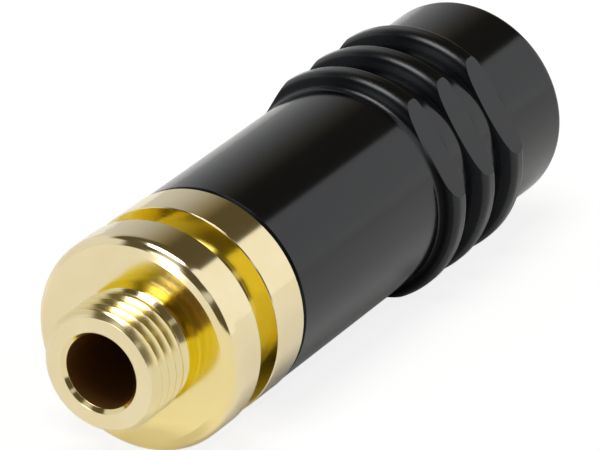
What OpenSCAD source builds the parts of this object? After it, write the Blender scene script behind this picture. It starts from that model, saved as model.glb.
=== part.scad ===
// Inline 3.5 mm audio jack socket: a gold-plated turned body with a threaded nose, a black ribbed
// shell that screws on behind it, and the spring contacts, insulators and cable clamp inside.
// The plug axis runs along Y. The plug hole opens towards -Y and the cable leaves towards +Y.
// The origin is on the plug axis, in the plane of the flange's front face.

/* [Nose and plug hole] */
// Diameter of the plug hole
hole_d = 3.6; // [3.55:0.05:3.7]
// Chamfer at the mouth of the plug hole
mouth_chamfer = 0.18; // [0.1:0.02:0.3]
// Outer diameter of the nose thread
nose_d = 6; // [5.8:0.1:6.2]
// Length of the nose in front of the flange
nose_len = 3.05; // [2.5:0.05:3.5]
// Chamfer at the front edge of the nose
nose_chamfer = 0.3; // [0.2:0.05:0.4]
// Length of the relief between the thread and the flange
relief_len = 0.65; // [0.5:0.05:0.8]
// Depth of the relief
relief_depth = 0.38; // [0.3:0.02:0.5]
// Diameter at which the relief's slope meets the flange
neck_d = 5.74; // [5.6:0.02:5.9]

/* [Flange and ring] */
// Diameter of the flange, which is also twice the distance of the rib flats from the axis
flange_d = 10.56; // [10.5:0.02:10.8]
// Length of the flange
flange_len = 2.25; // [2:0.05:2.6]
// Diameter at which the flange's face turns into a bevel
bevel_d = 9.2; // [9:0.02:9.4]
// Diameter at which the bevel turns into the round edge
bevel_end_d = 9.86; // [9.7:0.02:10]
// Slope of the bevel in degrees
bevel_slope = 12; // [8:1:16]
// Slope at which the round edge starts in degrees
round_slope = 28; // [20:1:36]
// Length of the groove behind the flange
groove_len = 1.63; // [1.2:0.01:2]
// Depth of the groove
groove_depth = 1.2; // [1:0.05:1.25]
// Diameter of the ring behind the groove
ring_d = 10.46; // [10.3:0.02:10.5]
// Length of the ring
ring_len = 2.27; // [2:0.01:2.6]
// Broken edges of the groove and the ring
edge_break = 0.04; // [0.02:0.01:0.1]

/* [Screw joint] */
// Outer diameter of the spigot's thread
spigot_d = 8.9; // [8.8:0.02:8.96]
// Length of the spigot
spigot_len = 4.5; // [4:0.25:5]
// Chamfer at the spigot's end
spigot_chamfer = 0.3; // [0.2:0.05:0.4]
// Diameter of the undercut behind the ring
undercut_d = 8.3; // [8.1:0.05:8.5]
// Length of the undercut
undercut_len = 0.6; // [0.4:0.05:0.8]
// Bore of the shell
shell_bore_d = 9; // [9:0.02:9.1]

/* [Shell] */
// Diameter of the plain barrel
barrel_d = 10.38; // [10.3:0.02:10.5]
// Overall length of the shell
shell_len = 25.15; // [24.5:0.05:25.5]
// Chamfer at the shell's front edge
shell_chamfer = 0.3; // [0.2:0.02:0.34]
// Diameter of the tail's end, to which it widens a little behind the ribs
tail_d = 10.54; // [10.4:0.02:10.56]
// Radius of the tail's rear edge
tail_round = 0.45; // [0.2:0.05:0.8]
// Thickness of the shell's rear wall
rear_wall = 2.4; // [1.8:0.1:2.8]
// Diameter of the cable hole
cable_hole_d = 6.2; // [5:0.1:7]
// Chamfer at the cable hole
cable_chamfer = 0.4; // [0.2:0.05:0.6]

/* [Ribs] */
// Number of ribs
rib_count = 3; // [2:1:3]
// Distance from the shell's front edge to the middle of the first rib
first_rib = 13.8; // [13:0.05:14.5]
// Distance between ribs
rib_pitch = 2.86; // [2.7:0.02:3]
// Diameter over the ribs
rib_d = 11.76; // [11.5:0.02:12]
// Width of the plain land on a rib's back
rib_land = 0.5; // [0.3:0.05:0.6]
// Radius of a rib's round shoulders
rib_round = 0.4; // [0.3:0.05:0.5]
// Slope of a rib's flanks in degrees from the axis
rib_slope = 65; // [55:1:75]
// Radius of the fillet at a rib's foot
rib_fillet = 0.1; // [0.05:0.01:0.15]
// Number of flats across the ribs
flat_count = 3; // [3:3:6]

/* [Contacts] */
// Thickness of the contact strips
strip_t = 0.25; // [0.2:0.01:0.28]
// Width of the contact strips
strip_w = 1.6; // [1.4:0.05:1.8]
// Depth from the mouth of the tip contact's crest
tip_depth = 12; // [11.8:0.1:12.2]
// Depth from the mouth of the ring contact's crest
ring_depth = 8.5; // [8.3:0.1:8.7]
// Distance of a crest's middle line from the axis
crest_x = 1.45; // [1.4:0.01:1.6]
// Distance of the solder tags' middle line from the axis
tag_x = 2.35; // [2.3:0.01:2.4]
// Length of a solder tag behind the cap
tag_len = 3.7; // [3:0.1:4.2]
// Diameter of the round end of a solder tag
tag_end_d = 2.2; // [2:0.1:2.6]
// Diameter of the wire hole in a solder tag
wire_hole_d = 1; // [0.8:0.05:1.2]

/* [Insulators] */
// Outer diameter of the carrier's front part, which sits in the body
seat_d = 7.5; // [7.3:0.05:7.6]
// Depth of the blind plug hole from the mouth
blind_depth = 15; // [14.8:0.1:15.2]
// Diameter of the carrier's collar
collar_d = 8.2; // [8:0.05:8.3]
// Length of the carrier's collar
collar_len = 0.8; // [0.6:0.05:1]
// Diameter of the carrier behind the collar
carrier_rear_d = 6.4; // [6.2:0.05:6.45]
// Length of the carrier behind the collar
carrier_rear_len = 3.8; // [3.6:0.1:4]
// Thickness of the carrier's cap
cap_t = 0.7; // [0.5:0.1:1]
// Outer diameter of the insulating sleeve
sleeve_d = 8.84; // [8.7:0.02:8.86]
// Wall of the insulating sleeve
sleeve_wall = 0.42; // [0.3:0.02:0.44]

/* [Ground tag and cable clamp] */
// Thickness of the ground tag
ground_t = 0.35; // [0.3:0.01:0.36]
// Width of the ground tag's tail
ground_w = 2.4; // [2:0.1:2.6]
// Length of the cable clamp
clamp_len = 3.4; // [3:0.1:3.8]
// Angle that the clamp's claws reach round the cable
clamp_angle = 230; // [200:5:250]
// Slope of the claws' cut corners in degrees
claw_slope = 24; // [15:1:30]

/* [Hidden] */
$fn = 96;
// Room between pieces that sit in each other
fit_gap = 0.02;
// Room that lets a cutter pass a face
over = 1;

hole_r = hole_d / 2;
nose_r = nose_d / 2;
relief_r = nose_r - relief_depth;
neck_r = neck_d / 2;
flange_r = flange_d / 2;
ring_r = ring_d / 2;
groove_r = flange_r - groove_depth;
spigot_r = spigot_d / 2;
undercut_r = undercut_d / 2;
seat_r = seat_d / 2;
shell_bore_r = shell_bore_d / 2;
barrel_r = barrel_d / 2;
tail_r = tail_d / 2;
cable_r = cable_hole_d / 2;
rib_r = rib_d / 2;
flat_r = flange_r;

// Lengths inside the shell
grip_len = 2;
ground_step_len = 1;
bend_reach = 0.4;

// Slopes of the relief's front wall and of its rear wall in degrees from the axis
relief_front = 62;
relief_rear = 40;

// Places along the axis
mouth_y = -nose_len;
relief_y = -relief_len;
groove_y = flange_len;
ring_y = groove_y + groove_len;
shell_y = ring_y + ring_len;
spigot_end_y = shell_y + spigot_len;
shell_end_y = shell_y + shell_len;
rear_wall_y = shell_end_y - rear_wall;
rib_ys = [for (i = [0 : rib_count - 1]) shell_y + first_rib + i * rib_pitch];
seat_y = ring_y - groove_len / 3;
blind_y = mouth_y + blind_depth;
collar_y = spigot_end_y + ground_t;
collar_end_y = collar_y + collar_len;
carrier_end_y = collar_end_y + carrier_rear_len;
grip_y = carrier_end_y - grip_len;
cap_end_y = carrier_end_y + cap_t;
tag_end_y = cap_end_y + tag_len;
sleeve_y = collar_end_y + ground_step_len + bend_reach;
clamp_y = tag_end_y + tag_end_d;

// Clearances and room round the contact strips
hole_relief = 0.25;
slot_room = 0.15;
slot_top_x = 2.75;
web_x = 1;

// The spring's free end leaves the crest towards the mouth
spring_lift = 0.5;
spring_nose = 1.1;

// The ground tag's tail lies a little inside the ring's edge and outside the clamp's wall,
// and it steps in behind the collar
ground_sink = 0.06;
ground_ring_r = 4.25;
ground_ring_hole_r = seat_r + 2 * fit_gap;
ground_start_x = ground_ring_r - ground_t / 2 - ground_sink;
ground_tail_x = 3.45;
ground_angle = -90;
claw_hub_r = ground_tail_x - ground_t / 2 - ground_sink;

tip_angle = 0;
ring_angle = 180;
flat_angles = [for (i = [0 : flat_count - 1]) -90 + i * 360 / flat_count];

// Lists and paths
function unit(v) = v / norm(v);
function left_of(v) = [-v[1], v[0]];
function but_first(list) = [for (i = [1 : len(list) - 1]) list[i]];
function reversed(list) = [for (i = [len(list) - 1 : -1 : 0]) list[i]];

// Points of an arc from angle a to angle b
function arc(centre, r, a, b, steps) =
    [for (i = [0 : steps]) let (t = a + (b - a) * i / steps) centre + r * [cos(t), sin(t)]];

// A smooth bend that replaces the corner b of the path a, b, c
function bend(a, b, c, reach, steps = 5) =
    let (from = b + reach * unit(a - b), to = b + reach * unit(c - b))
    [for (i = [0 : steps]) let (t = i / steps) from * (1 - t) ^ 2 + 2 * b * t * (1 - t) + to * t ^ 2];

// An open path with its inner corners bent
function bent(path, reach) = concat(
    [path[0]],
    [for (i = [1 : len(path) - 2]) each bend(path[i - 1], path[i], path[i + 1], reach)],
    [path[len(path) - 1]]);

// An open path moved sideways by d
function beside(path, d) = [
    for (i = [0 : len(path) - 1])
        let (last = len(path) - 1,
             before = left_of(unit(path[max(i, 1)] - path[max(i, 1) - 1])),
             after = left_of(unit(path[min(i + 1, last)] - path[min(i, last - 1)])),
             way = unit(before + after))
        path[i] + way * d / (way * before)];

// Turns what is drawn on the +X side round the plug axis, +Z being 90 degrees
module around_axis(angle) rotate([0, -angle, 0]) children();

// Stands a revolved outline of [radius, y] points along the plug axis
module turned(outline, angle = 360) rotate([-90, 0, 0]) rotate_extrude(angle = angle) polygon(outline);

// A tube along the plug axis, from y on
module tube(y, len, outer_r, inner_r)
    turned([[inner_r, y], [outer_r, y], [outer_r, y + len], [inner_r, y + len]]);

// A strip of sheet metal that follows a path of [x, y] points
module strip(path, t, w)
    linear_extrude(w, center = true)
        polygon(concat(beside(path, t / 2), reversed(beside(path, -t / 2))));

// The relief behind the nose thread: front wall, floor and the slope up to the flange
function nose_relief() = [
    [nose_r, relief_y],
    [relief_r, relief_y + relief_depth / tan(relief_front)],
    [relief_r, -(neck_r - relief_r) / tan(relief_rear)],
    [neck_r, 0]];

// The rim of the flange's face: a shallow bevel and a round edge
function flange_rim() =
    let (bevel_y = (bevel_end_d - bevel_d) / 2 * tan(bevel_slope),
         r = (flange_r - bevel_end_d / 2) / (1 - sin(round_slope)))
    concat(
        [[bevel_d / 2, 0]],
        arc([flange_r - r, bevel_y + r * cos(round_slope)], r, round_slope - 90, 0, 10));

// One rib on the barrel: fillet, flank, round shoulder and land, and the same back down
function rib(y) =
    let (hub_r = rib_r - rib_round,
         foot_r = barrel_r + rib_fillet,
         rise = rib_r - barrel_r - (rib_round + rib_fillet) * (1 - cos(rib_slope)),
         half = rib_land / 2,
         reach = half + rise / tan(rib_slope) + (rib_round + rib_fillet) * sin(rib_slope))
    concat(
        arc([foot_r, y - reach], rib_fillet, 180, 180 - rib_slope, 4),
        arc([hub_r, y - half], rib_round, -rib_slope, 0, 8),
        arc([hub_r, y + half], rib_round, 0, rib_slope, 8),
        arc([foot_r, y + reach], rib_fillet, rib_slope - 180, -180, 4));

// Turned body: nose, flange, groove, ring and the threaded spigot for the shell
module socket_body() {
    color([0.83, 0.68, 0.36])
        turned(concat(
            [[hole_r, mouth_y + mouth_chamfer], [hole_r + mouth_chamfer, mouth_y]],
            [[nose_r - nose_chamfer, mouth_y], [nose_r, mouth_y + nose_chamfer]],
            nose_relief(),
            flange_rim(),
            [[flange_r, groove_y - edge_break], [flange_r - edge_break, groove_y], [groove_r, groove_y]],
            [[groove_r, ring_y], [ring_r - edge_break, ring_y], [ring_r, ring_y + edge_break]],
            [[ring_r, shell_y], [undercut_r, shell_y], [undercut_r, shell_y + undercut_len]],
            [[spigot_r, shell_y + undercut_len + spigot_r - undercut_r]],
            [[spigot_r, spigot_end_y - spigot_chamfer], [spigot_r - spigot_chamfer, spigot_end_y]],
            [[seat_r, spigot_end_y], [seat_r, seat_y], [hole_r, seat_y]]));
}

// Shell: plain barrel, ribs with flats, tail and cable hole
module outer_shell() {
    outline = concat(
        [[shell_bore_r + shell_chamfer, shell_y], [barrel_r - shell_chamfer, shell_y]],
        [[barrel_r, shell_y + shell_chamfer]],
        [for (y = rib_ys) each rib(y)],
        arc([tail_r - tail_round, shell_end_y - tail_round], tail_round, 0, 90, 8),
        [[cable_r + cable_chamfer, shell_end_y], [cable_r, shell_end_y - cable_chamfer]],
        [[cable_r, rear_wall_y], [shell_bore_r, rear_wall_y]],
        [[shell_bore_r, shell_y + shell_chamfer]]);
    flats_y = rib_ys[0] - rib_pitch / 2;
    flats_len = rib_pitch * rib_count;
    color([0.07, 0.07, 0.075])
        difference() {
            turned(outline);
            for (angle = flat_angles)
                around_axis(angle)
                    translate([flat_r, flats_y, -rib_r])
                        cube([rib_r, flats_len, 2 * rib_r]);
        }
}

// Moulded insulator behind the plug hole, with a slot for each spring contact
module contact_carrier() {
    plug_r = seat_r - fit_gap;
    bore_r = hole_r + hole_relief;
    rear_r = carrier_rear_d / 2;
    color([0.1, 0.1, 0.105])
        difference() {
            turned([[bore_r, seat_y], [plug_r, seat_y], [plug_r, collar_y], [collar_d / 2, collar_y],
                    [collar_d / 2, collar_end_y], [rear_r, collar_end_y], [rear_r, carrier_end_y],
                    [0, carrier_end_y], [0, blind_y], [bore_r, blind_y]]);
            around_axis(tip_angle) contact_slot(mouth_y + tip_depth - spring_nose - over / 2);
            around_axis(ring_angle) contact_slot(mouth_y + ring_depth - spring_nose - over / 2);
            around_axis(ground_angle) collar_notch();
        }
}

// Room for one spring leaf, and the narrow slot behind it that grips the strip
module contact_slot(front_y) {
    room_w = strip_w + 2 * slot_room;
    translate([web_x, front_y, -room_w / 2])
        cube([slot_top_x - web_x, grip_y - front_y, room_w]);
    strip_slot(grip_y - over, carrier_end_y + over);
}

// A slot that a flat strip passes through
module strip_slot(from_y, to_y) {
    t = strip_t + 2 * fit_gap;
    w = strip_w + 2 * fit_gap;
    translate([tag_x - t / 2, from_y, -w / 2])
        cube([t, to_y - from_y, w]);
}

// Flat in the collar where the ground tag's tail passes
module collar_notch() {
    w = ground_w + 2 * slot_room;
    translate([ground_tail_x - ground_t / 2 - slot_room, collar_y, -w / 2])
        cube([collar_d, collar_len + over, w]);
}

// Insulating disc that closes the carrier behind the contacts
module carrier_cap() {
    color([0.2, 0.2, 0.21])
        difference() {
            turned([[0, carrier_end_y], [carrier_rear_d / 2, carrier_end_y],
                    [carrier_rear_d / 2, cap_end_y], [0, cap_end_y]]);
            for (angle = [tip_angle, ring_angle])
                around_axis(angle) strip_slot(carrier_end_y - over, cap_end_y + over);
        }
}

// One stamped contact: spring leaf, gripped part and solder tag, its crest at the given depth
module contact(depth) {
    crest_y = mouth_y + depth;
    leaf = [[tag_x, tag_end_y], [tag_x, grip_y - bend_reach], [crest_x, crest_y],
            [crest_x + spring_lift, crest_y - spring_nose]];
    difference() {
        union() {
            strip(bent(leaf, bend_reach), strip_t, strip_w);
            tag_disc(tag_end_d, strip_t);
        }
        tag_disc(wire_hole_d, strip_t + over);
    }
}

// A disc across the end of a solder tag
module tag_disc(d, t)
    translate([tag_x, tag_end_y, 0])
        rotate([0, 90, 0])
            cylinder(h = t, d = d, center = true);

module tip_contact() {
    color([0.85, 0.72, 0.42]) around_axis(tip_angle) contact(tip_depth);
}

module ring_contact() {
    color([0.85, 0.72, 0.42]) around_axis(ring_angle) contact(ring_depth);
}

// Stamped ring behind the spigot, with a stepped tail and the claws that hold the cable
module ground_tag() {
    step_y = collar_end_y + fit_gap;
    tail = [[ground_start_x, spigot_end_y], [ground_start_x, step_y],
            [ground_tail_x, step_y + ground_step_len], [ground_tail_x, clamp_y + ground_w / 2]];
    color([0.78, 0.76, 0.7]) {
        tube(spigot_end_y, ground_t, ground_ring_r, ground_ring_hole_r);
        around_axis(ground_angle) strip(bent(tail, bend_reach), ground_t, ground_w);
        cable_clamp();
    }
}

// Claws of the cable clamp: an open ring below the cable, its upper corners cut away
module cable_clamp() {
    outline = [[claw_hub_r, clamp_y], [claw_hub_r + ground_t, clamp_y],
               [claw_hub_r + ground_t, clamp_y + clamp_len], [claw_hub_r, clamp_y + clamp_len]];
    difference() {
        around_axis(clamp_angle / 2 - 90) turned(outline, clamp_angle);
        for (side = [-1, 1])
            translate([0, clamp_y + (1 + side) * clamp_len / 2, 0])
                rotate([side * claw_slope, 0, 0])
                    translate([-ground_ring_r, (side - 1) * clamp_len / 2, -ground_ring_r])
                        cube([2 * ground_ring_r, clamp_len, 2 * ground_ring_r]);
    }
}

// Insulating tube inside the shell, behind the carrier's collar
module insulating_sleeve() {
    color([0.93, 0.92, 0.88])
        tube(sleeve_y, rear_wall_y - fit_gap - sleeve_y, sleeve_d / 2, sleeve_d / 2 - sleeve_wall);
}

socket_body();
outer_shell();
contact_carrier();
carrier_cap();
tip_contact();
ring_contact();
ground_tag();
insulating_sleeve();
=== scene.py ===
"""Dresses an inline audio jack socket: a gold turned body with a threaded nose, and a black ribbed shell.

The plug axis runs along Y, the plug hole opens towards -Y, and +Z is up. Sizes below are in millimetres
from the plane of the flange's front face, as in the part's own source, and meshes are made in metres.
A span says where a mask is 0 and where it is 1, and a heading is a direction in two of the axes.
"""

import logging
import math
from collections.abc import Mapping, Sequence
from dataclasses import dataclass, field
from enum import Enum
from typing import Any

import bpy
import numpy as np
from mathutils import Matrix, Vector


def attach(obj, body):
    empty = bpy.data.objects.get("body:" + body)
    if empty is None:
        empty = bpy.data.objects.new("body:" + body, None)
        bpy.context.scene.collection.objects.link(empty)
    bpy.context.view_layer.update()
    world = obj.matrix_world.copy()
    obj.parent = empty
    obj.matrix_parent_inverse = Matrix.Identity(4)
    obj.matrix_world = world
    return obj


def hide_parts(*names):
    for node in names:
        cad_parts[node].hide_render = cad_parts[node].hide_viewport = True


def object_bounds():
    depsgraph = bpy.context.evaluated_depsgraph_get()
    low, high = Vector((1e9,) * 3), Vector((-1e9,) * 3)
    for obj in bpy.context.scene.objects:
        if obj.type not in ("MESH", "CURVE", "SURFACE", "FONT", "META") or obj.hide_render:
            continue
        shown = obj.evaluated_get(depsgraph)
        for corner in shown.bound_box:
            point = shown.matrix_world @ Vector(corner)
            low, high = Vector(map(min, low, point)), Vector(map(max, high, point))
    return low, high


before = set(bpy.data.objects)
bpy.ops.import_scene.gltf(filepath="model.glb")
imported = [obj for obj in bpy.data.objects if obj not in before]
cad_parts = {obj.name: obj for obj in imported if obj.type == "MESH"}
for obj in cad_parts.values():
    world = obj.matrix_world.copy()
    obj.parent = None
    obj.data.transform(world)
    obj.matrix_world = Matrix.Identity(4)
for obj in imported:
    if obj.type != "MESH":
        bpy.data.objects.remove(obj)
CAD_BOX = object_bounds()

LOG = logging.getLogger("jack_socket")
MM = 0.001
TURN = 2 * math.pi
WHITE = (1.0, 1.0, 1.0)
RIB_MIDDLE = 22.81
RIB_PITCH = 2.86

Colour = tuple[float, float, float]
Span = tuple[float, float]
Heading = tuple[float, float]
Grid = np.ndarray


class Body(Enum):
    """The bodies that the new meshes ride on."""

    SOCKET = "socket"
    SHELL = "shell"


class Slot(Enum):
    """The material slots of the new meshes, as in the record."""

    GOLD = "gold_plate"
    BLACK = "black_anodised"


class Node(Enum):
    """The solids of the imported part."""

    SOCKET_BODY = "socket_body"
    OUTER_SHELL = "outer_shell"
    CARRIER = "contact_carrier"
    CAP = "carrier_cap"
    TIP = "tip_contact"
    RING = "ring_contact"
    GROUND = "ground_tag"
    SLEEVE = "insulating_sleeve"


class Side(Enum):
    """Which way a thread is cut: into a shaft, or into the wall of a bore."""

    SHAFT = -1
    BORE = 1


class Round(float, Enum):
    """How far a turned corner is rounded."""

    NONE = 0.0
    KEEN = 0.012
    CRISP = 0.015
    FINE = 0.02
    LIGHT = 0.03
    EASED = 0.04
    SOFT = 0.05
    WIDE = 0.06
    DEEP = 0.1


# Shader maths


class Wire:
    """A value socket of a shader tree; an expression on wires adds the Math nodes for it."""

    def __init__(self, tree: "ShaderTree", socket: bpy.types.NodeSocket) -> None:
        """Holds a socket and the tree that it is in."""
        self.tree = tree
        self.socket = socket

    def math(self, operation: str, *others: "Wire | float") -> "Wire":
        """Adds a Math node whose first value is this wire."""
        sockets = dict(enumerate((self, *others)))
        return self.tree.add("ShaderNodeMath", {"operation": operation}, sockets)

    def swapped(self, operation: str, first: float) -> "Wire":
        """Adds a Math node whose second value is this wire."""
        return self.tree.add("ShaderNodeMath", {"operation": operation}, {0: first, 1: self})

    def __add__(self, other: "Wire | float") -> "Wire":
        """This plus another value."""
        return self.math("ADD", other)

    __radd__ = __add__

    def __mul__(self, other: "Wire | float") -> "Wire":
        """This times another value."""
        return self.math("MULTIPLY", other)

    __rmul__ = __mul__

    def __sub__(self, other: "Wire | float") -> "Wire":
        """This minus another value."""
        return self.math("SUBTRACT", other)

    def __rsub__(self, other: float) -> "Wire":
        """A number minus this."""
        return self.swapped("SUBTRACT", other)

    def __truediv__(self, other: "Wire | float") -> "Wire":
        """This divided by another value."""
        return self.math("DIVIDE", other)

    def __rtruediv__(self, other: float) -> "Wire":
        """A number divided by this."""
        return self.swapped("DIVIDE", other)

    def __abs__(self) -> "Wire":
        """The size of this value without its sign."""
        return self.math("ABSOLUTE")

    def at_most(self, other: "Wire | float") -> "Wire":
        """The smaller of this and another value."""
        return self.math("MINIMUM", other)

    def at_least(self, other: "Wire | float") -> "Wire":
        """The larger of this and another value."""
        return self.math("MAXIMUM", other)

    def step(self, span: Span) -> "Wire":
        """A smooth step from 0 to 1, which falls along the values where the span runs downwards.

        Args:
            span: where the result is 0, and where it is 1.

        Returns:
            The stepped value.
        """
        ends = {1: min(span), 2: max(span)}
        stepped = self.tree.add("ShaderNodeMapRange", {"interpolation_type": "SMOOTHSTEP"}, {0: self, **ends})
        return stepped if span[0] < span[1] else 1 - stepped


class ShaderTree:
    """The nodes of one material or of the world."""

    def __init__(self, tree: bpy.types.NodeTree) -> None:
        """Takes over a node tree and empties it."""
        self.tree = tree
        tree.nodes.clear()

    def add(
        self,
        kind: str,
        settings: Mapping[str, Any] | None = None,
        sockets: Mapping[str | int, Any] | None = None,
        result: str | int = 0,
    ) -> Wire:
        """Adds a node of any type.

        Args:
            kind: the node's type.
            settings: its own settings, set before its sockets.
            sockets: values or wires by a socket's identifier, name or place.
            result: the output to return, by identifier, name or place.

        Returns:
            The chosen output, or the first input of a node that has no outputs.
        """
        node = self.tree.nodes.new(kind)
        for name, value in (settings or {}).items():
            setattr(node, name, value)
        for key, value in (sockets or {}).items():
            socket = self._find(node.inputs, key)
            if isinstance(value, Wire):
                self.tree.links.new(value.socket, socket)
            else:
                socket.default_value = value
        if not node.outputs:
            return Wire(self, node.inputs[0])
        return Wire(self, self._find(node.outputs, result))

    @staticmethod
    def _find(sockets: Any, key: str | int) -> bpy.types.NodeSocket:
        """One of a node's inputs or outputs, by its place, identifier or name."""
        named = [socket for socket in sockets if key in (socket.identifier, socket.name)]
        return sockets[key] if isinstance(key, int) else named[0]

    def blend(self, first: Wire | Colour, second: Wire | Colour, share: Wire) -> Wire:
        """Mixes two colours.

        Args:
            first: the colour at share 0.
            second: the colour at share 1.
            share: the factor.

        Returns:
            The mixed colour.
        """
        ends = {"A_Color": first, "B_Color": second}
        sockets = {key: end if isinstance(end, Wire) else (*end, 1.0) for key, end in ends.items()}
        sockets["Factor_Float"] = share
        return self.add("ShaderNodeMix", {"data_type": "RGBA"}, sockets, "Result_Color")

    def place_mm(self) -> Wire:
        """The place on the piece, in millimetres in the part's own frame."""
        where = self.add("ShaderNodeTexCoord", result="Object")
        return self.add("ShaderNodeVectorMath", {"operation": "SCALE"}, {0: where, "Scale": 1 / MM}, "Vector")

    def noise(self, where: Wire, scale: float, detail: float = 2.0, rough: float = 0.5) -> Wire:
        """Noise in space or along one value, such as turning marks along a profile; about 0.5 in the middle.

        Args:
            where: the vector or the value by which it is read.
            scale: how many features there are in one unit of that.
            detail: how many finer layers it has.
            rough: how strong the finer layers are.

        Returns:
            The noise value.
        """
        key, dimensions = ("Vector", "3D") if where.socket.type == "VECTOR" else ("W", "1D")
        sockets = {key: where, "Scale": scale, "Detail": detail, "Roughness": rough}
        return self.add("ShaderNodeTexNoise", {"noise_dimensions": dimensions}, sockets)

    def bump(self, height_mm: Wire) -> Wire:
        """A normal bumped by a height in millimetres."""
        return self.add("ShaderNodeBump", sockets={"Height": height_mm, "Distance": MM, "Strength": 1.0})

    def glossy(self, colour: Wire, roughness: Wire | float, normal: Wire, **others: float) -> Wire:
        """A Principled surface; others are constants of its further sockets, by name."""
        sockets = {"Base Color": colour, "Roughness": roughness, "Normal": normal, **others}
        return self.add("ShaderNodeBsdfPrincipled", sockets=sockets)

    def matt(self, colour: Colour) -> Wire:
        """A Diffuse surface of one colour."""
        return self.add("ShaderNodeBsdfDiffuse", sockets={"Color": (*colour, 1.0)})

    def layer(self, share: Wire | float, first: Wire, second: Wire) -> Wire:
        """Mixes two shaders: the first at share 0, the second at share 1."""
        return self.add("ShaderNodeMixShader", sockets={0: share, 1: first, 2: second})


class Place:
    """A place on a piece, or a direction, split into its parts along +X, +Y and +Z."""

    def __init__(self, vector: Wire) -> None:
        """Splits a vector.

        Args:
            vector: the place or the direction.
        """
        self.vector = vector
        split = vector.tree.add("ShaderNodeSeparateXYZ", sockets={0: vector})
        self.right, self.back, self.up = (Wire(vector.tree, part) for part in split.socket.node.outputs)

    def radius(self) -> Wire:
        """The distance from the plug axis."""
        return (self.right * self.right + self.up * self.up).math("SQRT")

    def towards(self, heading: Heading) -> Wire:
        """How far the place lies along a heading in X and Z."""
        return self.right * heading[0] + self.up * heading[1]


# Finishes


@dataclass(frozen=True)
class Finish:
    """What every finish has: a name, and nodes that make its surface."""

    name: str

    def surface(self, tree: ShaderTree) -> Wire:
        """Adds the nodes of the surface and returns its shader; each finish has its own."""
        raise NotImplementedError

    def material(self) -> bpy.types.Material:
        """Makes the material.

        Returns:
            A new node material with this finish.
        """
        made = bpy.data.materials.new(self.name)
        made.use_nodes = True
        tree = ShaderTree(made.node_tree)
        shader = self.surface(tree)
        tree.add("ShaderNodeOutputMaterial", sockets={"Surface": shader})
        return made


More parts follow.
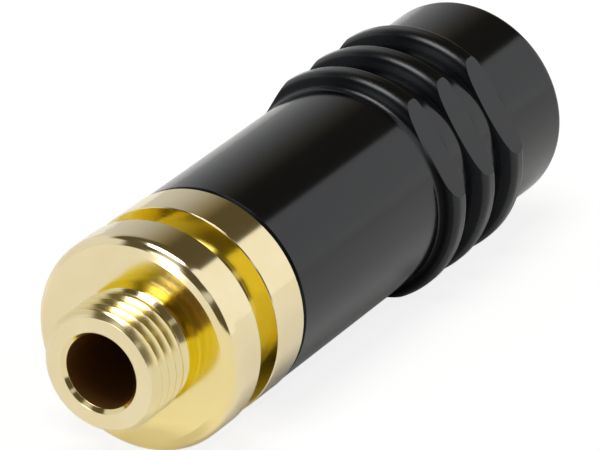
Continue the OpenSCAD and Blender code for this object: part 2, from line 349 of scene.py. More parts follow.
@dataclass(frozen=True)
class TurnedGold(Finish):
    """Polished gold plating on turned brass, with fine turning marks that follow the profile."""

    face: Colour = (0.860, 0.745, 0.490)
    warm: Colour = (0.845, 0.715, 0.440)
    low_face_reflection: Colour = (0.865, 0.725, 0.345)
    # painted reflection: a warmer gold on the lower right of the front face, as if it mirrored the floor
    nose: Colour = (0.795, 0.680, 0.390)
    # painted reflection: a darker, deeper gold in the upper thread roots
    root_reflection: Colour = (0.740, 0.520, 0.090)
    twice: Colour = (0.895, 0.785, 0.19)
    twice_nose: Colour = (0.94, 0.84, 0.12)
    # painted shade and light in what the gold mirrors of the nose: darker on its right side, paler on its top
    twice_shade: Colour = (0.30, 0.18, 0.025)
    twice_top: Colour = (0.90, 0.82, 0.55)
    # painted shade in the hole: the bore's wall is a dark brown
    hole_shade: Colour = (0.50, 0.26, 0.07)
    gloss: float = 0.085
    face_haze: float = 0.04
    thread_haze: float = 0.085
    hole_haze: float = 0.34
    gloss_spread: float = 0.06
    marks_per_mm: float = 14.0
    marks_depth: float = 0.0003
    ripple_per_mm: float = 1.1
    ripple_depth: float = 0.0012
    tone_per_mm: float = 0.5
    tone_span: Span = (0.3, 0.7)
    front_start: Span = (-0.06, -0.02)
    front_end: Span = (0.4, 0.1)
    face_end: Span = (0.05, 0.01)
    face_edge: Span = (4.6, 4.5)
    low_heading: Heading = (0.6, -0.8)
    low_span: Span = (-1.5, 3.0)
    nose_base: Span = (-0.03, -0.07)
    nose_tip: Span = (-3.0, -2.93)
    mouth_wall: Span = (2.04, 1.98)
    mouth_end: Span = (-2.6, -2.8)
    hole_wall: Span = (1.9, 1.82)
    hole_start: Span = (-2.9, -2.84)
    thread_base: Span = (-0.62, -0.68)
    thread_floor: Span = (2.5, 2.56)
    root_tip: Span = (-2.95, -2.72)
    root_depth: Span = (2.99, 2.80)
    upper_heading: Heading = (0.34, 0.94)
    upper_span: Span = (0.45, 0.8)
    right_heading: Heading = (0.809, 0.588)
    right_span: Span = (0.9135, 0.956)
    right_share: float = 0.85
    lit_heading: Heading = (0.350, 0.937)
    lit_span: Span = (0.976, 0.991)

    def surface(self, tree: ShaderTree) -> Wire:
        """Adds the gold's nodes.

        Args:
            tree: the material's nodes.

        Returns:
            The shader.
        """
        place = Place(tree.place_mm())
        along, radius = place.back, place.radius()
        marks = tree.noise(radius + along, self.marks_per_mm, detail=3.0)
        ripple = tree.noise(place.vector, self.ripple_per_mm, detail=1.0)
        on_face = along.step(self.front_start) * along.step(self.face_end) * radius.step(self.face_edge)
        on_thread = along.step(self.thread_base) * radius.step(self.thread_floor)
        in_hole = radius.step(self.hole_wall) * along.step(self.hole_start)
        # Painted shade: inside the hole, past the mouth, the bore's wall is a dark brown and rougher.
        colour = tree.blend(self.plating(place, radius, on_thread), self.hole_shade, in_hole)
        roughness = self.gloss + marks * self.gloss_spread + on_face * self.face_haze
        roughness = roughness + on_thread * self.thread_haze + in_hole * self.hole_haze
        normal = tree.bump(marks * self.marks_depth + ripple * self.ripple_depth)
        return tree.glossy(colour, roughness, normal, Metallic=1.0)

    def plating(self, place: Place, radius: Wire, on_thread: Wire) -> Wire:
        """The gold's colour outside the hole, with a painted reflection on the lower front face and a painted
        darker reflection in the upper thread roots; what another gold surface reflects is a deeper, painted
        gold, with painted shade on the nose's right side and painted light on its top.

        Args:
            place: where the colour is read.
            radius: its distance from the plug axis.
            on_thread: the mask of the nose's thread.

        Returns:
            The colour.
        """
        tree, along = radius.tree, place.back
        tone = tree.noise(place.vector, self.tone_per_mm)
        colour = tree.blend(self.face, self.warm, tone.step(self.tone_span))
        on_front = along.step(self.front_start) * along.step(self.front_end)
        # Painted reflection: the front face turns a warmer gold towards its lower right.
        lower = place.towards(self.low_heading).step(self.low_span)
        colour = tree.blend(colour, self.low_face_reflection, on_front * lower)
        on_nose = along.step(self.nose_base)
        behind_tip = on_nose * along.step(self.nose_tip)
        on_mouth = radius.step(self.mouth_wall) * along.step(self.mouth_end)
        colour = tree.blend(colour, self.nose, behind_tip.at_least(on_mouth))
        # Painted reflection: the thread's roots on its upper side are a darker, deeper gold, as if they
        # mirrored the neighbouring gold.
        upper = (place.towards(self.upper_heading) / radius).step(self.upper_span)
        in_root_reflection = on_thread * along.step(self.root_tip) * radius.step(self.root_depth) * upper
        colour = tree.blend(colour, self.root_reflection, in_root_reflection)
        on_right = (place.towards(self.right_heading) / radius).step(self.right_span)
        # Painted shade on the nose's right side and painted light on its top, in what the gold mirrors.
        deep = in_root_reflection.at_least(self.right_share) * on_right
        nose_again = tree.blend(self.twice_nose, self.twice_shade, deep)
        lit_top = (place.towards(self.lit_heading) / radius).step(self.lit_span)
        nose_again = tree.blend(nose_again, self.twice_top, lit_top)
        again = tree.blend(self.twice, nose_again, on_nose)
        return tree.blend(colour, again, tree.add("ShaderNodeLightPath", result="Is Glossy Ray"))


@dataclass(frozen=True)
class BlackAnodised(Finish):
    """Satin black anodised aluminium with a fine blasted grain, and painted shade, a matt black, in the
    hollow feet of the ribs.
    """

    dark: Colour = (0.0003, 0.0012, 0.0030)
    worn: Colour = (0.0008, 0.0018, 0.0038)
    gloss: float = 0.12
    gloss_spread: float = 0.035
    index: float = 1.45
    dull_index: float = 1.2
    dull_gloss: float = 0.3
    dull_share: float = 0.85
    front_haze: float = 0.14
    # painted shade: how much matt black covers the ribs' feet, and its colour
    foot_shade_share: float = 0.85
    foot_shade_black: Colour = (0.004, 0.004, 0.0042)
    grain_per_mm: float = 9.0
    grain_depth: float = 0.0014
    marks_per_mm: float = 16.0
    marks_depth: float = 0.0003
    tone_per_mm: float = 0.35
    tone_share: float = 0.6
    wear_span: Span = (0.3, 0.7)
    hazy_faces: Span = (-0.08, -0.3)
    front_faces: Span = (-0.6, -0.74)
    rear_faces: Span = (0.1, 0.35)
    behind_first: Span = (19.3, 19.5)
    foot_from_rib: float = 0.845
    foot_width: Span = (0.1, 0.07)
    foot_height: Span = (5.275, 5.24)
    first_outer: Span = (1.1, 0.92)
    first_inner: Span = (0.62, 0.72)
    first_height: Span = (3.4, 2.0)

    def surface(self, tree: ShaderTree) -> Wire:
        """Adds the anodised surface's nodes.

        Args:
            tree: the material's nodes.

        Returns:
            The shader.
        """
        place = Place(tree.place_mm())
        radius = place.radius()
        marks = tree.noise(radius + place.back, self.marks_per_mm)
        grain = tree.noise(place.vector, self.grain_per_mm, detail=3.0, rough=0.6)
        tone = tree.noise(place.vector, self.tone_per_mm, detail=3.0)
        wear = tone * self.tone_share + grain * (1 - self.tone_share)
        colour = tree.blend(self.dark, self.worn, wear.step(self.wear_span))
        facing = Place(tree.add("ShaderNodeNewGeometry", result="Normal")).back
        roughness = self.gloss + grain * self.gloss_spread
        roughness = roughness + facing.step(self.hazy_faces) * self.front_haze
        normal = tree.bump(grain * self.grain_depth + marks * self.marks_depth)
        satin = tree.glossy(colour, roughness, normal, IOR=self.index)
        dull = tree.glossy(colour, self.dull_gloss, normal, IOR=self.dull_index)
        cross_face = facing.step(self.front_faces).at_least(facing.step(self.rear_faces))
        both = tree.layer(cross_face * self.dull_share, satin, dull)
        # Painted shade: a matt black replaces the gloss in the ribs' hollow feet.
        return tree.layer(self.foot_shade(place, radius), both, tree.matt(self.foot_shade_black))

    def foot_shade(self, place: Place, radius: Wire) -> Wire:
        """The share of painted shade, a matt black, in the ribs' feet; before the first rib only the lower
        part has it.

        Args:
            place: where it is read.
            radius: its distance from the plug axis.

        Returns:
            The mask.
        """
        from_middle = abs(place.back - RIB_MIDDLE)
        from_rib = from_middle.at_most(abs(from_middle - RIB_PITCH))
        behind = place.back.step(self.behind_first)
        foot = abs(from_rib - self.foot_from_rib).step(self.foot_width) * radius.step(self.foot_height)
        first = from_rib.step(self.first_outer) * from_rib.step(self.first_inner) * (1 - behind)
        first = first * place.up.step(self.first_height)
        return (foot * behind).at_least(first) * self.foot_shade_share


@dataclass(frozen=True)
class Patterned(Finish):
    """A finish with a fine pattern in its relief and gloss, and with clouds of a second colour."""

    plain: Colour
    clouded: Colour
    gloss: float
    pattern_scale: float
    gloss_spread: float = 0.1
    metallic: float = 0.0
    pattern_depth: float = 0.002
    pattern_share: float = 0.5
    cloud_per_mm: float = 0.5
    cloud_detail: float = 2.0
    cloud_rough: float = 0.5
    tone_span: Span = (0.35, 0.65)

    def pattern(self, tree: ShaderTree, place: Place) -> Wire:
        """The pattern's height, from 0 to 1; each finish has its own."""
        raise NotImplementedError

    def surface(self, tree: ShaderTree) -> Wire:
        """Adds the finish's nodes.

        Args:
            tree: the material's nodes.

        Returns:
            The shader.
        """
        place = Place(tree.place_mm())
        pattern = self.pattern(tree, place)
        cloud = tree.noise(place.vector, self.cloud_per_mm, self.cloud_detail, self.cloud_rough)
        tone = pattern * self.pattern_share + cloud * (1 - self.pattern_share)
        colour = tree.blend(self.plain, self.clouded, tone.step(self.tone_span))
        roughness = self.gloss + pattern * self.gloss_spread
        normal = tree.bump(pattern * self.pattern_depth)
        return tree.glossy(colour, roughness, normal, Metallic=self.metallic)


@dataclass(frozen=True)
class MouldedPlastic(Patterned):
    """Matt moulded plastic with a fine spark-eroded texture."""

    plain: Colour = (0.030, 0.028, 0.026)
    clouded: Colour = (0.045, 0.043, 0.040)
    gloss: float = 0.42
    gloss_spread: float = 0.12
    pattern_scale: float = 7.0
    pattern_depth: float = 0.004
    cloud_per_mm: float = 0.6

    def pattern(self, tree: ShaderTree, place: Place) -> Wire:
        """The texture's grain."""
        return tree.noise(place.vector, self.pattern_scale, detail=3.0, rough=0.6)


@dataclass(frozen=True)
class StampedStrip(Patterned):
    """Plated strip, with the rolling lines that run along it."""

    plain: Colour = (0.84, 0.68, 0.37)
    clouded: Colour = (0.74, 0.55, 0.24)
    gloss: float = 0.16
    gloss_spread: float = 0.14
    metallic: float = 1.0
    pattern_scale: float = 12.0
    pattern_depth: float = 0.0008
    pattern_share: float = 0.0
    cloud_per_mm: float = 1.4
    cloud_detail: float = 3.0
    cloud_rough: float = 0.6
    tone_span: Span = (0.35, 0.75)

    def pattern(self, tree: ShaderTree, place: Place) -> Wire:
        """The rolling lines."""
        return tree.noise(place.right + place.up, self.pattern_scale, detail=3.0)


@dataclass(frozen=True)
class NaturalTube(Patterned):
    """Milky extruded tube, with faint lines along the way it was drawn."""

    plain: Colour = (0.84, 0.83, 0.78)
    clouded: Colour = (0.76, 0.75, 0.69)
    gloss: float = 0.32
    pattern_scale: float = 40.0
    pattern_share: float = 0.4

    def pattern(self, tree: ShaderTree, place: Place) -> Wire:
        """The lines, by the angle round the axis."""
        return tree.noise(place.right.math("ARCTAN2", place.up), self.pattern_scale)


@dataclass(frozen=True)
class FloorPaper(Finish):
    """White paper: the camera sees it as the white ground, with a faint shadow of the object.

    The metal also sees painted light on it: a glowing streak far in front, and a faint glowing band to the
    left of the nose that brightens the floor's shade there.
    """

    paper: Colour = (0.95, 0.95, 0.945)
    seen_share: float = 0.22
    seen_glow: float = 1.06
    gleam_glow: float = 4.0
    streak_sine: float = 0.329
    streak_cosine: float = 0.944
    streak_shift: float = 1.8
    streak_width: Span = (0.06, 0.026)
    streak_start: Span = (45.0, 75.0)
    least_ahead: float = 1.0
    band_end: Span = (3.0, 0.5)
    band_rear: Span = (3.0, -1.0)
    band_front: Span = (-3.6, -1.8)
    band_share: float = 0.075

    def surface(self, tree: ShaderTree) -> Wire:
        """Adds the paper's nodes.

        Args:
            tree: the material's nodes.

        Returns:
            The shader.
        """
        place = Place(tree.place_mm())
        right, back = place.right, place.back
        ahead = right * -self.streak_sine - back * self.streak_cosine
        aside = abs(right * self.streak_cosine - back * self.streak_sine - self.streak_shift)
        streak = (aside / ahead.at_least(self.least_ahead)).step(self.streak_width)
        # Painted light: the paper glows in a streak far in front and in a faint band beside the nose, seen
        # only by the metal.
        glow_band = right.step(self.band_end) * back.step(self.band_rear) * back.step(self.band_front)
        gleam = (streak * ahead.step(self.streak_start)).at_least(glow_band * self.band_share)
        paper = tree.matt(self.paper)
        mirrored, seen = (
            tree.layer(share, paper, tree.add("ShaderNodeEmission", sockets={"Strength": glow}))
            for share, glow in ((gleam, self.gleam_glow), (1 - self.seen_share, self.seen_glow))
        )
        return tree.layer(tree.add("ShaderNodeLightPath", result="Is Camera Ray"), mirrored, seen)


# Turned meshes


@dataclass(frozen=True)
class Corner:
    """One corner of a turned outline, with its rounding and the longest row after it, 0 for the usual."""

    radius: float
    along: float
    round: float
    rows: float = 0.0

    def point(self) -> np.ndarray:
        """The corner as a point."""
        return np.array((self.radius, self.along))


@dataclass(frozen=True)
class Outline:
    """A closed outline of corners that is turned round the plug axis."""

    corners: Sequence[Corner]
    hold: float = 0.01
    hold_room: float = 4.0
    arc_step: float = math.radians(11)
    small_step: float = math.radians(24)
    small: float = 0.05
    least_steps: int = 2
    longest: float = 1.2
    straight: float = 1e-6

    def rows(self) -> np.ndarray:
        """The outline's points: rounded corners, and rows on the straight parts between them.

        Returns:
            Points of radius and place along the axis, in order, without a repeat of the first.
        """
        arcs = [self._arc(i) for i in range(len(self.corners))]
        points: list[np.ndarray] = []
        for i, corner in enumerate(self.corners):
            points.extend(arcs[i])
            start, end = arcs[i][-1], arcs[(i + 1) % len(arcs)][0]
            points.extend(self._straight(start, end, corner.rows or self.longest))
        return np.array(points)

    def _arc(self, index: int) -> list[np.ndarray]:
        """Rounds one corner.

        Args:
            index: the corner's place in the outline.

        Returns:
            The arc's points in order, or the corner itself where it isn't rounded.
        """
        corner = self.corners[index]
        here = corner.point()
        back = self.corners[index - 1].point() - here
        ahead = self.corners[(index + 1) % len(self.corners)].point() - here
        back, ahead = back / np.linalg.norm(back), ahead / np.linalg.norm(ahead)
        half = math.acos(float(np.clip(back @ ahead, -1, 1))) / 2
        middle = back + ahead
        if np.linalg.norm(middle) < self.straight or corner.round <= 0:
            return [here]
        centre = here + middle / np.linalg.norm(middle) * corner.round / math.sin(half)
        reach = corner.round / math.tan(half)
        first, last = here + back * reach - centre, here + ahead * reach - centre
        sweep = math.pi - 2 * half
        step = self.arc_step if corner.round > self.small else self.small_step
        count = max(self.least_steps, math.ceil(sweep / step))
        return [
            centre + (first * math.sin((1 - t) * sweep) + last * math.sin(t * sweep)) / math.sin(sweep)
            for t in np.linspace(0, 1, count + 1)
        ]

    def _straight(self, start: np.ndarray, end: np.ndarray, longest: float) -> list[np.ndarray]:
        """Divides a straight part, with a row close to each end to hold the shading.

        Args:
            start: where the part starts.
            end: where it ends.
            longest: the longest step between two rows.

        Returns:
            The rows between the ends, none where the part is too short.
        """
        length = float(np.linalg.norm(end - start))
        if length < self.hold_room * self.hold:
            return []
        count = max(1, math.ceil((length - 2 * self.hold) / longest))
        places = np.linspace(self.hold, length - self.hold, count + 1)
        return [start + (end - start) * place / length for place in places]


@dataclass(frozen=True)
class Thread:
    """A right-hand screw thread, cut into a shaft or into the wall of a bore.

    In each pitch one flank takes up the rise, the crest is the land, and the other flank has the rest.
    """

    start: float
    end: float
    radius: float
    pitch: float
    depth: float
    side: Side = Side.SHAFT
    rise: float = 0.44
    land: float = 0.12
    curve: float = 1.0
    run_in: float = 0.3
    run_out: float = 0.3

    def cut(self, radius: Grid, along: Grid, angle: Grid) -> Grid:
        """The radii after the thread is cut.

        Args:
            radius: the points' radii before threading.
            along: their places along the axis.
            angle: their angles round the axis, from +X towards +Z.

        Returns:
            The radii, none beyond the thread's flanks.
        """
        phase = (along / self.pitch + angle / TURN) % 1
        front = 1 - phase / self.rise
        rear = (phase - self.rise - self.land) / (1 - self.rise - self.land)
        below = np.maximum(np.maximum(front, rear), 0) ** self.curve
        enter = np.clip((along - self.start) / self.run_in, 0, 1)
        leave = np.clip((self.end - along) / self.run_out, 0, 1)
        depth = self.depth * below * enter * leave
        flank = self.radius + self.side.value * depth
        limit = np.minimum if self.side is Side.SHAFT else np.maximum
        on_thread = (along > self.start) & (along < self.end)
        return np.where(on_thread, limit(radius, flank), radius)


@dataclass(frozen=True)
class Flats:
    """Flats milled across what stands out beyond a distance from the axis."""

    distance: float
    angles: Sequence[float]
    least: float = math.radians(1.0)
    least_cosine: float = 0.1
    inner: int = 26
    outer: int = 62

    def columns(self, radius: float) -> np.ndarray:
        """The angles of one row's points, with a point on each flat's edge.

        Args:
            radius: the row's radius before milling.

        Returns:
            The angles in order.
        """
        sector = TURN / len(self.angles)
        half = max(self.least, math.acos(min(1.0, self.distance / radius)))
        inside = np.linspace(-half, half, self.inner + 1)
        outside = np.linspace(half, sector - half, self.outer + 1)[1:-1]
        return np.concatenate([middle + np.concatenate([inside, outside]) for middle in self.angles])

    def cut(self, radius: Grid, angle: Grid) -> Grid:
        """The radii after milling.

        Args:
            radius: the points' radii before milling.
            angle: their angles.

        Returns:
            The radii, none beyond a flat.
        """
        for middle in self.angles:
            turned = (angle - middle + math.pi) % TURN - math.pi
            facing = np.abs(turned) < math.pi / len(self.angles)
            limit = self.distance / np.maximum(np.cos(turned), self.least_cosine)
            radius = np.where(facing, np.minimum(radius, limit), radius)
        return radius


@dataclass(frozen=True)
class Turning:
    """A turned mesh: an outline swept round the plug axis, then threaded and milled."""

    outline: Outline
    threads: Sequence[Thread]
    flats: Flats | None = None
    columns: int = 272
    sharp: float = math.radians(24)

    def build(self, name: str) -> bpy.types.Object:
        """Makes the mesh object.

        Args:
            name: the piece's name.

        Returns:
            The object, linked to the scene.
        """
        rows = self.outline.rows()
        if self.flats:
            angle = np.array([self.flats.columns(radius) for radius, _ in rows])
        else:
            angle = np.tile(np.arange(self.columns) * TURN / self.columns, (len(rows), 1))
        radius = np.tile(rows[:, :1], (1, angle.shape[1]))
        along = np.tile(rows[:, 1:], (1, angle.shape[1]))
        for thread in self.threads:
            radius = thread.cut(radius, along, angle)
        if self.flats:
            radius = self.flats.cut(radius, angle)
        points = np.stack([radius * np.cos(angle), along, radius * np.sin(angle)], axis=-1) * MM
        return closed_grid(name, points, self.sharp)


def closed_grid(name: str, points: Grid, sharp: float) -> bpy.types.Object:
    """Makes a closed mesh of quads from rows and columns of points that both run round.

    Args:
        name: the object's name.
        points: rows by columns by three coordinates, in metres.
        sharp: the angle from which an edge is shaded sharp.

    Returns:
        The object, linked to the scene.
    """
    count, width, _ = points.shape
    index = np.arange(count * width).reshape(count, width)
    after = np.roll(index, -1, axis=0)
    beside = np.roll(index, -1, axis=1)
    across = np.roll(after, -1, axis=1)
    quads = np.stack([index, after, across, beside], axis=-1).reshape(-1, 4)
    mesh = bpy.data.meshes.new(name)
    mesh.from_pydata(points.reshape(-1, 3).tolist(), [], quads.tolist())
    mesh.polygons.foreach_set("use_smooth", np.ones(len(quads), bool))
    mesh.set_sharp_from_angle(angle=sharp)
    mesh.validate()
    made = bpy.data.objects.new(name, mesh)
    bpy.context.scene.collection.objects.link(made)
    return made


def dress(piece: bpy.types.Object, finish: bpy.types.Material) -> None:
    """Gives a piece one material in place of what it had."""
    piece.data.materials.clear()
    piece.data.materials.append(finish)


# Sub-assemblies


@dataclass
class SocketBody:
    """The turned body: threaded nose, flange, groove, ring and threaded spigot."""

    hole: float = 1.8
    mouth: float = -3.05
    mouth_chamfer: float = 0.18
    nose: float = 3.0
    nose_chamfer: float = 0.3
    nose_pitch: float = 0.6
    nose_depth: float = 0.31
    nose_curve: float = 1.13
    nose_rise: float = 0.72
    nose_land: float = 0.08
    nose_run_out: float = 0.1
    relief: float = 2.62
    relief_start: float = -0.65
    relief_slope: float = -0.448
    relief_end: float = -0.33
    neck: float = 2.87
    flange: float = 5.28
    bevel: float = 4.6
    bevel_end: float = 4.93
    bevel_slope: float = 12.0
    round_slope: float = 28.0
    flange_end: float = 2.25
    groove: float = 4.08
    ring_start: float = 3.88
    ring: float = 5.23
    ring_end: float = 6.15
    edge: float = 0.04
    undercut: float = 4.15
    undercut_end: float = 6.75
    spigot: float = 4.45
    spigot_start: float = 7.05
    spigot_end: float = 10.65
    spigot_chamfer: float = 0.3
    spigot_pitch: float = 0.75
    spigot_depth: float = 0.36
    spigot_lead: float = 0.05
    seat: float = 3.75
    seat_start: float = 3.337
    full: float = 0.97
    nose_rows: int = 32
    spigot_rows: int = 14
    sharp_edge: float = 50.0
    finish: TurnedGold = TurnedGold("gold_plating")

    def rim(self) -> list[Corner]:
        """The flange's rim: a shallow bevel, then a round edge.

        Returns:
            Three corners, in order.
        """
        slope, turn = math.radians(self.bevel_slope), math.radians(self.round_slope)
        bevel_back = (self.bevel_end - self.bevel) * math.tan(slope)
        width = self.flange - self.bevel_end
        corner_back = bevel_back + width * math.tan(turn)
        round_edge = width / (1 - math.sin(turn))
        return [
            Corner(self.bevel, 0, Round.LIGHT),
            Corner(self.bevel_end, bevel_back, Round.FINE),
            Corner(self.flange, corner_back, self.full * round_edge),
        ]

    def outline(self) -> Outline:
        """The body's outline, from the hole's mouth round the outside and back through the seat.

        Returns:
            The closed outline.
        """
        nose_rows = self.nose_pitch / self.nose_rows
        spigot_rows = self.spigot_pitch / self.spigot_rows
        corners = [
            Corner(self.hole, self.mouth + self.mouth_chamfer, Round.EASED),
            Corner(self.hole + self.mouth_chamfer, self.mouth, Round.EASED),
            Corner(self.nose - self.nose_chamfer, self.mouth, Round.LIGHT, nose_rows),
            Corner(self.nose, self.mouth + self.nose_chamfer, Round.LIGHT, nose_rows),
            Corner(self.nose, self.relief_start, Round.FINE),
            Corner(self.relief, self.relief_slope, Round.LIGHT),
            Corner(self.relief, self.relief_end, Round.EASED),
            Corner(self.neck, 0, Round.FINE),
            *self.rim(),
            Corner(self.flange, self.flange_end - self.edge, Round.FINE),
            Corner(self.flange - self.edge, self.flange_end, Round.FINE),
            Corner(self.groove, self.flange_end, Round.KEEN),
            Corner(self.groove, self.ring_start, Round.KEEN),
            Corner(self.ring - self.edge, self.ring_start, Round.FINE),
            Corner(self.ring, self.ring_start + self.edge, Round.FINE),
            Corner(self.ring, self.ring_end, Round.LIGHT),
            Corner(self.undercut, self.ring_end, Round.SOFT),
            Corner(self.undercut, self.undercut_end, Round.SOFT),
            Corner(self.spigot, self.spigot_start, Round.EASED, spigot_rows),
            Corner(self.spigot, self.spigot_end - self.spigot_chamfer, Round.EASED),
            Corner(self.spigot - self.spigot_chamfer, self.spigot_end, Round.EASED),
            Corner(self.seat, self.spigot_end, Round.EASED),
            Corner(self.seat, self.seat_start, Round.EASED),
            Corner(self.hole, self.seat_start, Round.EASED),
        ]
        return Outline(corners)

    def build(self) -> bpy.types.Object:
        """Makes the body and puts it in the place of its solid.

        Returns:
            The piece.
        """
        nose = Thread(
            start=self.mouth - self.nose_pitch,
            end=self.relief_start,
            radius=self.nose,
            pitch=self.nose_pitch,
            depth=self.nose_depth,
            rise=self.nose_rise,
            land=self.nose_land,
            curve=self.nose_curve,
            run_out=self.nose_run_out,
        )
        spigot = Thread(
            start=self.spigot_start - self.spigot_lead,
            end=self.spigot_end,
            radius=self.spigot,
            pitch=self.spigot_pitch,
            depth=self.spigot_depth,
        )
        turning = Turning(self.outline(), (nose, spigot), sharp=math.radians(self.sharp_edge))
        piece = turning.build("gold_body")
        dress(piece, self.finish.material())
        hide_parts(Node.SOCKET_BODY.value)
        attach(piece, Body.SOCKET.value)
        return piece


@dataclass
class OuterShell:
    """The black shell: plain barrel, three ribs with flats, tail and cable hole."""

    start: float = 6.15
    end: float = 31.3
    bore: float = 4.5
    barrel: float = 5.19
    chamfer: float = 0.3
    ribs: tuple[float, ...] = (RIB_MIDDLE - RIB_PITCH, RIB_MIDDLE, RIB_MIDDLE + RIB_PITCH)
    rib: float = 5.88
    rib_land: float = 0.5
    rib_round: float = 0.4
    rib_slope: float = 65.0
    rib_fillet: float = 0.1
    front_fillet: float = 0.48
    front_round: float = 0.7
    flank_rows: float = 0.03
    flat: float = 5.28
    flat_angles: tuple[float, ...] = (-90.0, 30.0, 150.0)
    tail: float = 5.27
    tail_round: float = 0.45
    rear_wall: float = 28.9
    cable: float = 3.1
    cable_chamfer: float = 0.4
    thread_end: float = 11.2
    pitch: float = 0.75
    depth: float = 0.3
    thread_rows: int = 10
    arc_step: float = 8.0
    finish: BlackAnodised = BlackAnodised("black_anodising")

    def rib_corners(self, middle: float) -> list[Corner]:
        """The corners of one rib: fillet, two round shoulders with a land between them, fillet.

        Args:
            middle: the rib's place along the axis.

        Returns:
            Four corners, in order along the axis.
        """
        slope = math.radians(self.rib_slope)
        shoulder = self.rib_land / 2 + self.rib_round * math.tan(slope / 2)
        foot = shoulder + (self.rib - self.barrel) / math.tan(slope)
        fillet = self.front_fillet if middle == self.ribs[0] else self.rib_fillet
        return [
            Corner(self.barrel, middle - foot, fillet, self.flank_rows),
            Corner(self.rib, middle - shoulder, self.front_round),
            Corner(self.rib, middle + shoulder, self.rib_round, self.flank_rows),
            Corner(self.barrel, middle + foot, self.rib_fillet),
        ]

    def outline(self) -> Outline:
        """The shell's outline, along the outside to the tail and back through the bore.

        Returns:
            The closed outline.
        """
        ribs = [corner for middle in self.ribs for corner in self.rib_corners(middle)]
        thread_rows = self.pitch / self.thread_rows
        corners = [
            Corner(self.bore + self.chamfer, self.start, Round.LIGHT),
            Corner(self.barrel - self.chamfer, self.start, Round.LIGHT),
            Corner(self.barrel, self.start + self.chamfer, Round.CRISP),
            *ribs,
            Corner(self.tail, self.end, self.tail_round),
            Corner(self.cable + self.cable_chamfer, self.end, Round.WIDE),
            Corner(self.cable, self.end - self.cable_chamfer, Round.WIDE),
            Corner(self.cable, self.rear_wall, Round.EASED),
            Corner(self.bore, self.rear_wall, Round.DEEP),
            Corner(self.bore, self.thread_end, Round.NONE, thread_rows),
            Corner(self.bore, self.start + self.chamfer, Round.LIGHT),
        ]
        return Outline(corners, arc_step=math.radians(self.arc_step))

    def build(self) -> bpy.types.Object:
        """Makes the shell and puts it in the place of its solid.

        Returns:
            The piece.
        """
        thread = Thread(
            start=self.start + self.chamfer,
            end=self.thread_end,
            radius=self.bore,
            pitch=self.pitch,
            depth=self.depth,
            side=Side.BORE,
        )
        flats = Flats(self.flat, [math.radians(angle) for angle in self.flat_angles])
        piece = Turning(self.outline(), (thread,), flats).build("black_shell")
        dress(piece, self.finish.material())
        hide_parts(Node.OUTER_SHELL.value)
        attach(piece, Body.SHELL.value)
        return piece


@dataclass
class Insides:
    """The insulators, contacts, clamp and sleeve, which keep their solids and get their finishes."""

    finishes: Mapping[Node, Finish] = field(
        default_factory=lambda: {
            Node.CARRIER: MouldedPlastic("black_moulding"),
            Node.CAP: MouldedPlastic("grey_moulding", (0.27, 0.26, 0.24), (0.33, 0.32, 0.30)),
            Node.TIP: StampedStrip("gold_strip"),
            Node.RING: StampedStrip("gold_strip"),
            Node.GROUND: StampedStrip("tinned_strip", (0.80, 0.78, 0.73), (0.66, 0.64, 0.59)),
            Node.SLEEVE: NaturalTube("natural_tube"),
        }
    )

    def build(self) -> list[bpy.types.Object]:
        """Dresses the inner solids.

        Returns:
            The dressed pieces.
        """
        made: dict[str, bpy.types.Material] = {}
        pieces = []
        for node, finish in self.finishes.items():
            if finish.name not in made:
                made[finish.name] = finish.material()
            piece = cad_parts[node.value]
            dress(piece, made[finish.name])
            pieces.append(piece)
        return pieces


# Studio


class Lamp:
    """A light of the studio, far away in some directions."""

    def glow(self, way: Place) -> Wire:
        """The strength in a direction, 1 for white; each lamp has its own."""
        raise NotImplementedError


@dataclass(frozen=True)
class RightCard(Lamp):
    """A large white card on the right; a step in its upper edge makes it smaller towards the front."""

    lean: Heading = (0.8878, -0.4602)
    notch: Span = (-0.22, -0.29)
    notch_depth: float = 0.17
    edge: Span = (-0.012, 0.012)
    front: Span = (-0.362, -0.322)
    strength: float = 0.95

    def glow(self, way: Place) -> Wire:
        """The card's light in a direction."""
        inside = way.towards(self.lean) - way.back.step(self.notch) * self.notch_depth
        return inside.step(self.edge) * way.back.step(self.front) * self.strength


@dataclass(frozen=True)
class PaleWall(Lamp):
    """A pale wall on the left, with an edge that comes nearer and softer towards the back."""

    start: float = -0.53
    middle: Span = (-0.35, 0.05)
    middle_shift: float = 0.15
    deep: Span = (0.1, 0.7)
    deep_shift: float = 0.56
    blur: float = 0.07
    deep_blur: float = 0.63
    strength: float = 0.75

    def glow(self, way: Place) -> Wire:
        """The wall's light.

        Args:
            way: the direction.

        Returns:
            The strength, 1 for white.
        """
        deep = way.back.step(self.deep)
        start = self.start - way.back.step(self.middle) * self.middle_shift + deep * self.deep_shift
        share = (start - way.right) / (self.blur + deep * self.deep_blur)
        return share.at_least(0.0).at_most(1.0) * self.strength


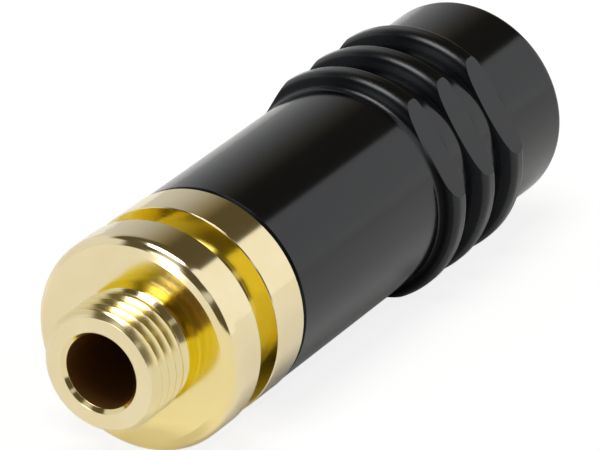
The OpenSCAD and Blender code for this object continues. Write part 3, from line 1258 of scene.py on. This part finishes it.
@dataclass(frozen=True)
class FrontStrips(Lamp):
    """A leaning strip light in front, a fainter one that goes on above it, and a haze round them."""

    side: float = 0.292
    lean: float = 0.35
    strength: float = 1.8
    foot: Span = (0.5, 0.3)
    foot_strength: float = 1.6
    top: Span = (0.72, 0.64)
    front: Span = (-0.69, -0.77)
    width: float = 0.075
    widening: float = 0.22
    least_width: float = 0.04
    edge: Span = (1.1, 0.75)
    upper_lean: float = 0.43
    upper_top: Span = (0.95, 0.85)
    upper_front: Span = (-0.36, -0.46)
    upper_edge: Span = (0.14, 0.1)
    upper_strength: float = 0.6
    haze_edge: Span = (0.25, 0.12)
    haze_front: Span = (-0.2, -0.45)
    haze_strength: float = 0.45

    def glow(self, way: Place) -> Wire:
        """The strips' light.

        Args:
            way: the direction.

        Returns:
            The strength, 1 for white.
        """
        right, back, up = way.right, way.back, way.up
        width = (up * self.widening + self.width).at_least(self.least_width)
        spread = abs(right + self.side - up * self.lean) / width
        lower = (up.step(self.foot) * self.foot_strength + self.strength) * up.step(self.top)
        lower = lower * back.step(self.front) * spread.step(self.edge)
        aside = abs(right + self.side - up * self.upper_lean)
        upper = up.step(self.upper_top) * back.step(self.upper_front) * aside.step(self.upper_edge)
        haze = aside.step(self.haze_edge) * back.step(self.haze_front) * self.haze_strength
        return (lower + upper * self.upper_strength).at_least(haze)


@dataclass(frozen=True)
class SideSlit(Lamp):
    """A thin slit of light in front on the right."""

    lean: Heading = (-0.594, 0.805)
    edge: Span = (0.085, 0.05)
    front: Span = (-0.36, -0.44)
    start: Span = (0.2, 0.35)
    strength: float = 0.6

    def glow(self, way: Place) -> Wire:
        """The slit's light in a direction."""
        slit = abs(way.towards(self.lean)).step(self.edge) * way.back.step(self.front)
        return slit * way.right.step(self.start) * self.strength


@dataclass(frozen=True)
class SoftBox(Lamp):
    """A bright soft box overhead, whose right edge slants inwards at the front."""

    left: Span = (-0.29, -0.23)
    right: Span = (0.37, 0.32)
    slant: float = 1.1
    slant_start: float = -0.24
    front: Span = (-0.42, -0.37)
    rear: Span = (0.04, -0.03)
    height: Span = (0.4, 0.5)
    least_up: float = 0.01
    strength: float = 7.5

    def glow(self, way: Place) -> Wire:
        """The soft box's light.

        Args:
            way: the direction.

        Returns:
            The strength, 1 for white.
        """
        up = way.up.at_least(self.least_up)
        across, along = way.right / up, way.back / up
        slanted = across - (along - self.slant_start).at_most(0.0) * self.slant
        box = across.step(self.left) * slanted.step(self.right)
        box = box * along.step(self.front) * along.step(self.rear)
        return box * way.up.step(self.height) * self.strength


@dataclass
class Studio:
    """Camera, floor and light."""

    azimuth: float = 31.327
    elevation: float = 23.697
    roll: float = 3.062
    distance: float = 0.27
    aim: tuple[float, float, float] = (0.000242, 0.014430, 0.000186)
    lens: float = 346.11
    sensor: float = 36.0
    clip: float = 100.0
    floor_half: float = 1.5
    ambient: float = 0.10
    dim: Colour = (1.0, 0.81, 0.42)
    dim_span: Span = (0.08, 0.5)
    lamps: Sequence[Lamp] = (RightCard(), PaleWall(), FrontStrips(), SideSlit(), SoftBox())
    paper: FloorPaper = FloorPaper("white_paper")

    def camera(self) -> None:
        """Makes the scene's camera, at the photograph's viewing angle."""
        turn, lift = math.radians(self.azimuth), math.radians(self.elevation)
        back = Vector((math.sin(turn) * math.cos(lift), -math.cos(turn) * math.cos(lift), math.sin(lift)))
        data = bpy.data.cameras.new("camera")
        data.lens = self.lens
        data.sensor_width = self.sensor
        data.clip_start = self.distance / self.clip
        data.clip_end = self.distance * self.clip
        made = bpy.data.objects.new("camera", data)
        look = (-back).to_track_quat("-Z", "Y").to_matrix().to_4x4()
        spin = Matrix.Rotation(math.radians(-self.roll), 4, "Z")
        made.matrix_world = Matrix.Translation(Vector(self.aim) + back * self.distance) @ look @ spin
        bpy.context.scene.collection.objects.link(made)
        bpy.context.scene.camera = made

    def floor(self) -> None:
        """Lays the floor under the part."""
        low = CAD_BOX[0].z
        half = self.floor_half
        corners = [(-half, -half, low), (half, -half, low), (half, half, low), (-half, half, low)]
        mesh = bpy.data.meshes.new("floor")
        mesh.from_pydata(corners, [], [(0, 1, 2, 3)])
        made = bpy.data.objects.new("floor", mesh)
        bpy.context.scene.collection.objects.link(made)
        dress(made, self.paper.material())

    def light(self) -> None:
        """Makes the light of all lamps, dim and warm between them; the camera sees plain white."""
        world = bpy.data.worlds.new("studio")
        world.use_nodes = True
        tree = ShaderTree(world.node_tree)
        way = Place(tree.add("ShaderNodeTexCoord", result="Generated"))
        glow = sum((lamp.glow(way) for lamp in self.lamps), self.ambient)
        tint = tree.blend(self.dim, WHITE, glow.step(self.dim_span))
        studio = tree.add("ShaderNodeBackground", sockets={"Strength": glow, "Color": tint})
        white = tree.add("ShaderNodeBackground", sockets={"Strength": 1.0, "Color": (*WHITE, 1.0)})
        both = tree.layer(tree.add("ShaderNodeLightPath", result="Is Camera Ray"), studio, white)
        tree.add("ShaderNodeOutputWorld", sockets={"Surface": both})
        bpy.context.scene.world = world

    def build(self) -> None:
        """Makes camera, floor and light, and the plain view settings."""
        self.camera()
        self.floor()
        self.light()
        bpy.context.scene.view_settings.view_transform = "Standard"


def main() -> None:
    """Builds the sub-assemblies and the studio, and reports each piece."""
    logging.basicConfig(level=logging.INFO, format="%(name)s: %(message)s")
    Studio().build()
    pieces = [SocketBody().build(), OuterShell().build(), *Insides().build()]
    for piece in pieces:
        LOG.info("%s: %d faces", piece.name, len(piece.data.polygons))


if __name__ == "__main__":
    main()
